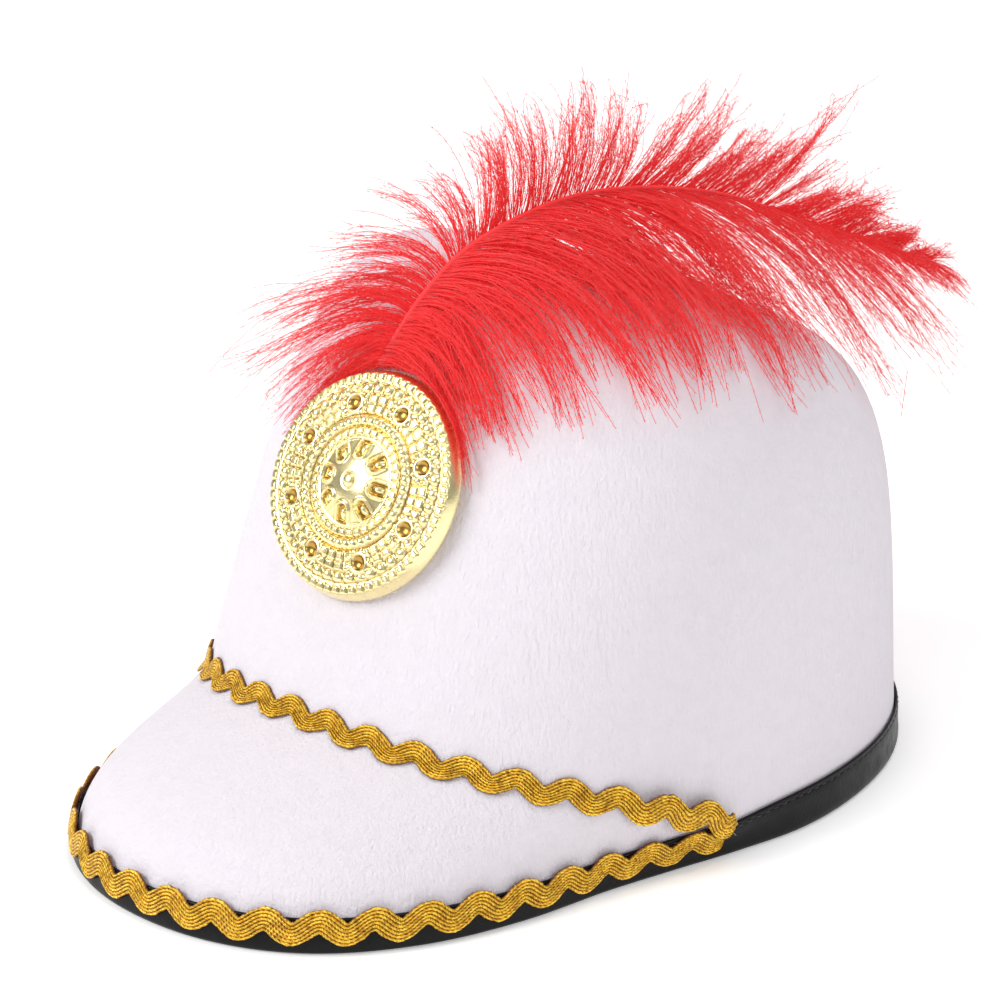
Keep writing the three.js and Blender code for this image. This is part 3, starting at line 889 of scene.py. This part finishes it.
def block_rings(radius, turn, rings):
    total = 0
    for low, high, count, rise, bevel in rings:
        middle, half = (low + high) / 2 * MEDALLION["radius"], (high - low) / 2 * MEDALLION["radius"]
        across = ring_of(turn, count) * middle
        half_block = PI / count * middle - BLOCK_GAP
        total = total + rise * plateau(radius - middle, half, bevel) * plateau(across, half_block, bevel)
    return total


def dimpled_zone(radius, turn):
    """Eight ringed dimples, with bars and knobs between them."""
    x, y = from_nearest(radius, turn, DIMPLE)
    away = np.hypot(x, y)
    around = ring_of(np.arctan2(y, x), DIMPLE_BEADS["count"]) * away
    beads = DIMPLE_BEADS["rise"] * bump(np.hypot(away - DIMPLE_BEADS["ring"], around), DIMPLE_BEADS["radius"])
    collar = COLLAR["rise"] * plateau(away, COLLAR["radius"], DIMPLE["bevel"])
    pit = -DIMPLE["depth"] * bump(away, DIMPLE["radius"])
    knob_ring = KNOBS["ring"] * MEDALLION["radius"]
    to_knob = np.hypot(radius - knob_ring, ring_of(turn, KNOBS["count"]) * knob_ring)
    knobs = KNOBS["rise"] * bump(to_knob, KNOBS["radius"])
    between = block_rings(radius, turn, BAR_RINGS) + knobs
    return collar + pit + beads + between * smooth_step(away, *COLLAR["room"])


def petals(radius, turn):
    """Eight hollows round the boss, open outwards, each with a raised rim and a small hump inside."""
    x, y = from_nearest(radius, turn, PETAL)
    inside = PETAL["half_width"] - np.where(x < 0, np.hypot(x, y), np.abs(y))
    rim = PETAL_RIM["rise"] * np.exp(-((inside / PETAL_RIM["width"]) ** 2))
    hump = PETAL_HUMP["rise"] * bump(np.hypot((x - PETAL_HUMP["out"]) / PETAL_HUMP["half_length"], y), 1.0)
    return rim + (hump - PETAL["depth"]) * smooth_step(inside, *PETAL["wall"])


def relief(radius, turn):
    """Height of the face over the medallion's back."""
    share = radius / MEDALLION["radius"]
    height = FACE_DOME["rim"] + FACE_DOME["rise"] * (1 - share**2) + block_rings(radius, turn, BLOCK_RINGS)
    for middle, half, bevel, rise in RING_LINES:
        height = height + rise * plateau(share - middle, half, bevel)
    twist = np.abs(np.cos(turn * ROPE["count"] / 2)) ** ROPE["fullness"]
    rope = ROPE["rise"] * bump(share - ROPE["ring"], ROPE["half"]) * mix(ROPE["least"], 1, twist)
    dome = np.cos(np.clip(share / BOSS["share"], 0, 1) * PI / 2) ** BOSS["fullness"]
    boss = BOSS["rise"] * dome + NUB["rise"] * bump(share, NUB["share"])
    boss = boss + petals(radius, turn) * (1 - smooth_step(share, *PETALS_END))
    return height + dimpled_zone(radius, turn) * smooth_step(share, *DIMPLED_FROM) + rope + boss


def hollowness(radius, turn):
    """How deep a point of the face lies under its neighbours, from 0 to 1."""
    x, y = radius * np.cos(turn), radius * np.sin(turn)
    around = 0
    for step in np.arange(HOLLOW["steps"]) * 2 * PI / HOLLOW["steps"]:
        near_x, near_y = x + HOLLOW["reach"] * np.cos(step), y + HOLLOW["reach"] * np.sin(step)
        around = around + relief(np.hypot(near_x, near_y), np.arctan2(near_y, near_x)) / HOLLOW["steps"]
    sunk = np.clip((around - relief(radius, turn)) / HOLLOW["depth"], 0, 1)
    in_dimple = plateau(np.hypot(*from_nearest(radius, turn, DIMPLE)), DIMPLE["radius"], DIMPLE["bevel"])
    return np.maximum(sunk, in_dimple)


def medallion_place():
    """Where the medallion lies on the front of the crown."""
    along = np.linspace(1, 1.6, 2000)
    found = np.interp(MEDALLION["height"], felt_point(0.0, along)[:, 2], along)
    normal = Vector(felt_normal(0.0, found))
    across = Vector((0, 0, 1)).cross(normal).normalized()
    turned = Matrix((across, normal.cross(across), normal)).transposed().to_4x4()
    middle = Vector(off_felt(0.0, found, MEDALLION["stand_off"])) * MM
    return Matrix.Translation(middle) @ turned @ Matrix.Rotation(MEDALLION["side_turn"], 4, "Y")


def medallion():
    bm = bmesh.new()
    radius = MEDALLION["radius"]
    shares = np.linspace(FACE_EDGE, 0, MEDALLION_RINGS)
    profile = [*SIDE_WALL, *((share, FLAT_FACE) for share in shares)]
    line = [bm.verts.new((share * radius * MM, 0, height * MM)) for share, height in profile]
    edges = [bm.edges.new(pair) for pair in zip(line, line[1:])]
    bmesh.ops.spin(
        bm,
        geom=line + edges,
        cent=(0, 0, 0),
        axis=(0, 0, 1),
        angle=2 * PI,
        steps=MEDALLION_SECTORS,
        use_merge=True,
    )
    bmesh.ops.remove_doubles(bm, verts=bm.verts, dist=SEAM)
    # The hollow attribute is painted shade for the face's sunk places and dimples.
    hollow = bm.verts.layers.float.new("hollow")
    face = [vert for vert in bm.verts if vert.co.z > (FLAT_FACE - 0.1) * MM]
    flat = np.array([vert.co for vert in face]) / MM
    polar = np.hypot(flat[:, 0], flat[:, 1]), np.arctan2(flat[:, 1], flat[:, 0])
    for vert, height, depth in zip(face, relief(*polar), hollowness(*polar)):
        vert.co.z = height * MM
        vert[hollow] = depth
    bmesh.ops.transform(bm, matrix=medallion_place(), verts=bm.verts)
    return show_bmesh("medallion_relief", bm, plated_material(), "medallion")


# Plume: a quill with barbs on both sides, each barb fringed with barbules

QUILL = {"root_radius": 0.9, "tip_radius": 0.25, "rows": 80, "sides": 8, "samples": 400}
BARB = {"count": (1250, 1330), "rows": 10, "per_lock": (18, 21), "pieces": ("front", "middle", "back")}
# How close the barbs stand along the quill: (share, wearer's left, wearer's right)
BARB_DENSITY = [
    (0.002, 1.8, 1.7),
    (0.08, 1.7, 1.4),
    (0.12, 1.7, 0.8),
    (0.35, 1.35, 0.6),
    (0.46, 0.55, 0.55),
    (0.7, 0.45, 0.6),
    (0.99, 0.6, 0.7),
]
BARB_REACH = 0.97  # how much of the vane's width the barbs reach
BARB_JITTER = {"place": 0.0012, "reach": 0.1, "end": 1.6, "bend": 0.045}
BARB_STRETCH = 1.08  # makes up for what the locks' taper takes off
# How the barbs gather into locks, on the wearer's left and right, as shares of their lengths
LOCK = {
    "pull": ((0.55, 0.96), (0.62, 0.97)),
    "sway": (0.095, 0.17),
    "spread": (0.16, 0.17),
    "curl": (0.032, 0.048),
}
ROOT_CALM = {"share": 0.4, "from": 0.08, "to": 0.2}  # the sway that the locks keep near the quill's root
LOCK_TAPER = 0.44  # how much shorter a lock's outer barbs are than its middle ones
STRAY = {"chance": 0.014, "reach": 0.2}  # barbs that leave their locks, and how much longer they are
CURL_WAVES = (1, 2.2)  # half waves along a barb
BARB_RADIUS = {"root": (0.12, 0.085), "tip": 0.035, "flatness": (2.3, 1.6)}
BARB_BOW = {"along": 0.22, "out": 0.45, "up": 0.12}
BARB_SHADE = {"tones": (0.25, 1), "root": 0.35, "hairs": 0.2, "quill": 0.9}
BARBULE = {"spacing": 2.3, "length": 3.0, "lengths": (0.5, 1.2), "radius": 0.065, "span": (0.05, 0.995)}
BARBULE_TURN = {"slant": math.radians(38), "slant_spread": 0.16, "roll": 0.6}
BARBULE_FULLNESS = {"least": 0.35, "from": 0.12, "span": 0.85}
CROWN_CLEARANCE = {"least": 1.6, "spread": 3}
RIM_CLEARANCE = {"gap": 1.2, "fades": (10, 16)}


def smooth_line(knots, count):
    """Evenly spaced points on a smooth curve through the given ones, and the curve's headings."""
    padded = np.vstack([2 * knots[0] - knots[1], knots, 2 * knots[-1] - knots[-2]])
    step = np.sqrt(np.linalg.norm(np.diff(padded, axis=0), axis=1))[:, None]
    rate = np.diff(padded, axis=0) / step
    wide = (padded[2:] - padded[:-2]) / (step[1:] + step[:-1])
    slope = rate[:-1] - wide + rate[1:]
    share = np.linspace(0, 1, 60)[:, None]
    fine = [
        hermite(share, knots[i], knots[i + 1], step[i + 1] * slope[i], step[i + 1] * slope[i + 1])
        for i in range(len(knots) - 1)
    ]
    fine = np.concatenate(fine)
    lengths = lengths_along(fine)
    points = read_rows(np.linspace(0, lengths[-1], count), lengths, fine)
    return points, unit(np.gradient(points, axis=0))


QUILL_POINTS, QUILL_HEADINGS = smooth_line(np.array(QUILL_LINE, float), QUILL["samples"])


def on_quill(rows, share):
    return read_rows(share, np.linspace(0, 1, len(rows)), rows)


def vane_end(share, side):
    return read_rows(share, [row[0] for row in VANE], np.array([row[1 + side] for row in VANE], float))


def crown_top(points):
    """The crown's height over points of the plan, or below the floor outside it."""
    x, y = points[..., 0], points[..., 1]
    power = HEAD["squareness"]

    def reach(climb):
        _, half_width, half_length, middle = crown_level(climb)
        size = np.abs(x / np.maximum(half_width, 1e-6)) ** power
        return (size + np.abs((y - middle) / np.maximum(half_length, 1e-6)) ** power) ** (1 / power)

    climb = last_true(np.zeros_like(x), np.full_like(x, PI / 2), lambda climb: reach(climb) < 1, 30)
    return np.where(reach(np.zeros_like(x)) > 1, -1, crown_level(climb)[0] * crown_height(y))


def lift_off_crown(paths, clearance):
    """Pushes points that are in the crown, or too close to it, straight out of its surface."""
    steps = np.array([[0.5, 0, 0], [0, 0.5, 0]])  # a millimetre in all, so a difference is a slope
    for _ in range(4):
        top = crown_top(paths)
        slopes = [crown_top(paths + step) - crown_top(paths - step) for step in steps]
        outward = np.stack([-slopes[0], -slopes[1], np.ones_like(top)], -1)
        steepness = np.linalg.norm(outward, axis=-1)
        short = np.maximum(0, clearance - (paths[..., 2] - top) / steepness)
        paths = paths + outward * (short / steepness)[..., None]
    return paths


def keep_off_medallion(paths):
    """Pushes points that lie over the medallion out past its rim."""
    place = np.array(medallion_place())
    axes, middle = place[:3, :3], place[:3, 3] / MM
    local = (paths - middle) @ axes
    reach = np.linalg.norm(local[..., :2], axis=-1)
    fading = smooth_step(local[..., 2], *RIM_CLEARANCE["fades"])
    rim = (MEDALLION["radius"] + RIM_CLEARANCE["gap"]) * (1 - fading)
    local[..., :2] *= (np.maximum(reach, rim) / np.maximum(reach, 1e-6))[..., None]
    return middle + local @ axes.T


def barb_shares(side, dice):
    """Where the barbs of one side stand along the quill."""
    count = BARB["count"][side]
    marks = [row[0] for row in BARB_DENSITY]
    places = np.linspace(marks[0], marks[-1], 2000)
    crowd = np.cumsum(np.interp(places, marks, [row[1 + side] for row in BARB_DENSITY]))
    share = np.interp(np.linspace(crowd[0], crowd[-1], count), crowd, places)
    return np.clip(share + dice.normal(0, BARB_JITTER["place"], count), 0, 1)


def barb_throws(side, share, dice):
    """The way from each barb's root to its end, drawn towards the end of its lock."""
    count = len(share)
    in_locks = np.cumsum(dice.uniform(0.5, 1.5, count)) / BARB["per_lock"][side]
    lock = in_locks.astype(int)
    taper = 1 - LOCK_TAPER * (2 * (in_locks % 1) - 1)[:, None] ** 2
    members = np.bincount(lock)
    lock_share = (np.bincount(lock, share) / np.maximum(members, 1))[lock]
    lock_reach = dice.normal(BARB_REACH, LOCK["spread"][side], len(members))[lock, None]
    width = np.linalg.norm(vane_end(share, side), axis=1)[:, None]
    calm = mix(ROOT_CALM["share"], 1, smooth_step(lock_share, ROOT_CALM["from"], ROOT_CALM["to"]))[:, None]
    lock_shift = dice.normal(0, LOCK["sway"][side], (len(members), 3))[lock] * width * calm
    stray = dice.uniform(0, 1, (count, 1)) < STRAY["chance"]
    root = on_quill(QUILL_POINTS, share)
    reach = dice.normal(BARB_REACH, BARB_JITTER["reach"], (count, 1)) + STRAY["reach"] * stray
    own = root + vane_end(share, side) * reach
    shared = on_quill(QUILL_POINTS, lock_share) + vane_end(lock_share, side) * lock_reach + lock_shift
    end = mix(own, shared, dice.uniform(*LOCK["pull"][side], (count, 1)) * ~stray)
    return (end + dice.normal(0, BARB_JITTER["end"], (count, 3)) - root) * taper * BARB_STRETCH


def barb_paths(side, dice):
    """The barbs' lines on one side of the quill, and the way that each looks."""
    share = barb_shares(side, dice)
    throw = barb_throws(side, share, dice)
    count = len(share)
    root = on_quill(QUILL_POINTS, share)
    heading = on_quill(QUILL_HEADINGS, share)
    length = np.linalg.norm(throw, axis=1, keepdims=True)
    bend = root + heading * BARB_BOW["along"] * length + throw * BARB_BOW["out"]
    bend = bend + UP * BARB_BOW["up"] * length + dice.normal(0, BARB_JITTER["bend"], (count, 3)) * length
    part = np.linspace(0, 1, BARB["rows"])[None, :, None]
    paths = (1 - part) ** 2 * root[:, None] + 2 * part * (1 - part) * bend[:, None]
    paths = paths + part**2 * (root + throw)[:, None]
    way = dice.normal(0, 1, (count, 1, 3))
    curl = way * np.sin(part * PI * dice.uniform(*CURL_WAVES, (count, 1, 1)) + 1) * part
    paths = paths + curl * LOCK["curl"][side] * length[:, None]
    clearance = CROWN_CLEARANCE["least"] + dice.uniform(0, CROWN_CLEARANCE["spread"], (count, 1))
    paths = lift_off_crown(keep_off_medallion(lift_off_crown(paths, clearance)), clearance)
    return paths, unit(np.cross(heading, throw))


def barbules(paths, facing, dice):
    """The roots and tips of the short hairs along both sides of the barbs."""
    rows = paths.shape[1]
    lengths = np.linalg.norm(np.diff(paths, axis=1), axis=-1).sum(1)
    counts = np.maximum(2, 2 * lengths / BARBULE["spacing"]).astype(int)
    barb = np.repeat(np.arange(len(paths)), counts)
    part = dice.uniform(*BARBULE["span"], len(barb))
    low = (part * (rows - 1)).astype(int)
    share = (part * (rows - 1) - low)[:, None]
    start, end = paths[barb, low], paths[barb, low + 1]
    root = mix(start, end, share)
    heading = unit(end - start)
    sideways = np.cross(heading, facing[barb]) * np.where(np.arange(len(barb)) % 2 == 1, 1, -1)[:, None]
    roll = dice.normal(0, BARBULE_TURN["roll"], (len(barb), 1))
    slant = dice.normal(BARBULE_TURN["slant"], BARBULE_TURN["slant_spread"], (len(barb), 1))
    out = sideways * np.cos(roll) + facing[barb] * np.sin(roll)
    swell = np.sin(PI * np.clip(part * BARBULE_FULLNESS["span"] + BARBULE_FULLNESS["from"], 0, 1))
    fullness = mix(BARBULE_FULLNESS["least"], 1, swell)
    reach = (BARBULE["length"] * fullness * dice.uniform(*BARBULE["lengths"], len(barb)))[:, None]
    return root, root + (heading * np.cos(slant) + out * np.sin(slant)) * reach, facing[barb], barb


def vane_part(name, paths, facing, side, dice, material):
    count = len(paths)
    part = np.linspace(0, 1, BARB["rows"])
    radii = np.broadcast_to(mix(BARB_RADIUS["root"][side], BARB_RADIUS["tip"], part), (count, len(part)))
    tones = dice.uniform(*BARB_SHADE["tones"], count)
    points, triangles = strands(paths, radii, facing, flatness=BARB_RADIUS["flatness"][side])
    paler = np.clip(tones[:, None] * mix(BARB_SHADE["root"], 1, part), 0, 1)
    stems = (points, triangles, np.repeat(paler.ravel(), 3))
    root, tip, looks, barb = barbules(paths, facing, dice)
    points, triangles = spikes(root, tip, looks, BARBULE["radius"])
    hairs = (points, triangles, np.repeat(np.clip(tones[barb] + BARB_SHADE["hairs"], 0, 1), 4))
    mesh = array_mesh(name, *join_arrays([stems, hairs]))
    return show(name, mesh, material, "plume")


def plume():
    red = feather_material()
    rows = np.linspace(0, len(QUILL_POINTS) - 1, QUILL["rows"]).astype(int)
    radii = mix(QUILL["root_radius"], QUILL["tip_radius"], np.linspace(0, 1, QUILL["rows"]))
    facing = np.array([[1.0, 0, 0]])
    points, triangles = strands(QUILL_POINTS[None, rows], radii[None], facing, QUILL["sides"])
    mesh = array_mesh("quill", points, triangles, np.full(len(points), BARB_SHADE["quill"]))
    show("quill", mesh, red, "plume")
    for side, side_name in enumerate(("left", "right")):
        dice = np.random.default_rng(40 + side)
        paths, facing = barb_paths(side, dice)
        part = np.arange(len(paths)) * len(BARB["pieces"]) // len(paths)
        for number, part_name in enumerate(BARB["pieces"]):
            name = f"barbs_{side_name}_{part_name}"
            vane_part(name, paths[part == number], facing[part == number], side, dice, red)


# Stage, light and camera

CAMERA = {"place": (777.520, -798.957, 495.102), "lens": 157.84, "sensor": 36}
CAMERA_RIGHT = (0.71144923, 0.7027375, 0)
CAMERA_UP = (-0.24718545, 0.25024977, 0.9360953)

LIGHT_AIM = (0, 0, 0.08)
# Square lamps, in metres and watts: (name, place, size, power)
LIGHTS = [
    ("key", (-0.9, -1.8, 1.4), 1.2, 33),
    ("fill", (2.2, -0.4, 1.1), 1.0, 9),
    ("top", (0.1, 0.4, 2.4), 1.4, 14),
]
FLOOR = {"half": 20, "drop": 0.0002}
SKY = [(0.2, 0.2, 0.2, 1), (0.62, 0.62, 0.63, 1)]  # its light from level to overhead


def floor():
    bm = bmesh.new()
    bmesh.ops.create_grid(bm, x_segments=2, y_segments=2, size=FLOOR["half"])
    bmesh.ops.translate(bm, verts=bm.verts, vec=(0, 0, -FLOOR["drop"]))
    mesh = bpy.data.meshes.new("floor")
    bm.to_mesh(mesh)
    bm.free()
    looks = {
        "Roughness": 0.9,
        "Base Color": (0.95, 0.95, 0.95, 1),
        "Specular IOR Level": 0.0,
        "Emission Color": (1, 1, 1, 1),
        "Emission Strength": 0.3,
    }
    mesh.materials.append(new_material("pale_floor", looks)[0])
    piece = add_object("floor", mesh)


def area_light(name, place, size, watts):
    lamp = bpy.data.lights.new(name, "AREA")
    lamp.shape = "SQUARE"
    lamp.size = size
    lamp.energy = watts
    piece = add_object(name, lamp)
    piece.location = place
    piece.rotation_mode = "QUATERNION"
    piece.rotation_quaternion = (Vector(LIGHT_AIM) - Vector(place)).to_track_quat("-Z", "Y")


def studio():
    world = bpy.data.worlds.new("studio")
    bpy.context.scene.world = world
    world.use_nodes = True
    tree = world.node_tree
    background = tree.nodes["Background"]
    direction = add_node(tree, "ShaderNodeTexCoord")
    parts = add_node(tree, "ShaderNodeSeparateXYZ")
    ramp = add_node(tree, "ShaderNodeValToRGB")
    for stop, tone in zip(ramp.color_ramp.elements, SKY):
        stop.color = tone
    seen = add_node(tree, "ShaderNodeLightPath")
    blend = add_node(tree, "ShaderNodeMix", data_type="RGBA")
    blend.inputs["B"].default_value = (1, 1, 1, 1)
    link(tree, direction, "Generated", parts, "Vector")
    link(tree, parts, "Z", ramp, "Fac")
    link(tree, ramp, "Color", blend, "A")
    link(tree, seen, "Is Camera Ray", blend, "Factor")
    link(tree, blend, "Result", background, "Color")
    for light in LIGHTS:
        area_light(*light)
    bpy.context.scene.view_settings.view_transform = "Standard"


def camera():
    right, up = Vector(CAMERA_RIGHT), Vector(CAMERA_UP)
    lens = bpy.data.cameras.new("camera")
    lens.lens = CAMERA["lens"]
    lens.sensor_width = CAMERA["sensor"]
    piece = add_object("camera", lens)
    turned = Matrix((right, up, right.cross(up))).transposed().to_4x4()
    piece.matrix_world = Matrix.Translation(Vector(CAMERA["place"]) * MM) @ turned
    bpy.context.scene.camera = piece


felt_body()
binding()
stitches()
braids()
medallion()
plume()
floor()
studio()
camera()
